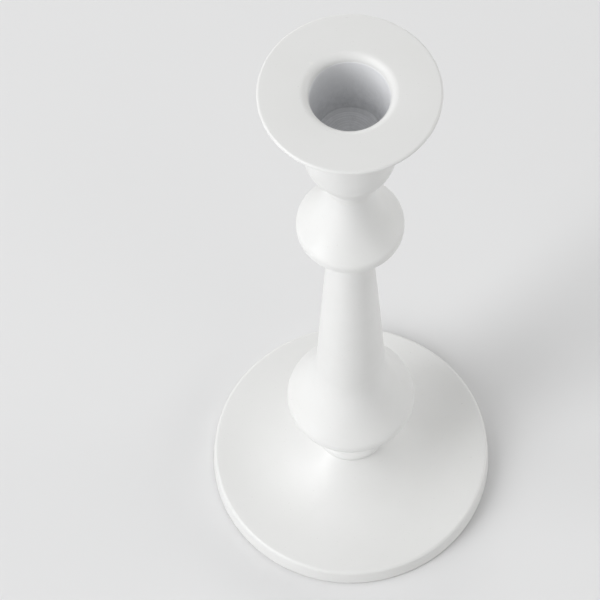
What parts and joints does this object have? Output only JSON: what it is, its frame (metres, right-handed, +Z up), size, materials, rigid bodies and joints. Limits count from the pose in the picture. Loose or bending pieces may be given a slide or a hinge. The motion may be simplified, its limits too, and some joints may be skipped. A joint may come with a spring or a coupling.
{
  "type": "candlestick",
  "caption": "Turned wooden candlestick: flat round drip pan over a cup with a blind candle socket, a bell-shaped knop, a flared column and a trumpet-shaped round base.",
  "frame": {"origin": "centre of the resting face, at the underside of the felt pad", "axes": "+Z up along the candlestick's axis; the object is round, so +X and +Y are any two level directions"},
  "size_m": [0.0935, 0.0934, 0.2375],
  "materials": {
    "painted_wood": "white satin paint over turned wood",
    "bare_wood": "bare beech",
    "zinc_steel": "zinc plated",
    "felt": "wool felt"
  },
  "bodies": {
    "root": {"base": "painted_wood", "stem": "painted_wood", "knop": "painted_wood", "cup": "painted_wood", "drip_pan": "painted_wood", "stem_dowel": "bare_wood", "base_screw": "zinc_steel", "base_pad": "felt"}
  },
  "joints": []
}
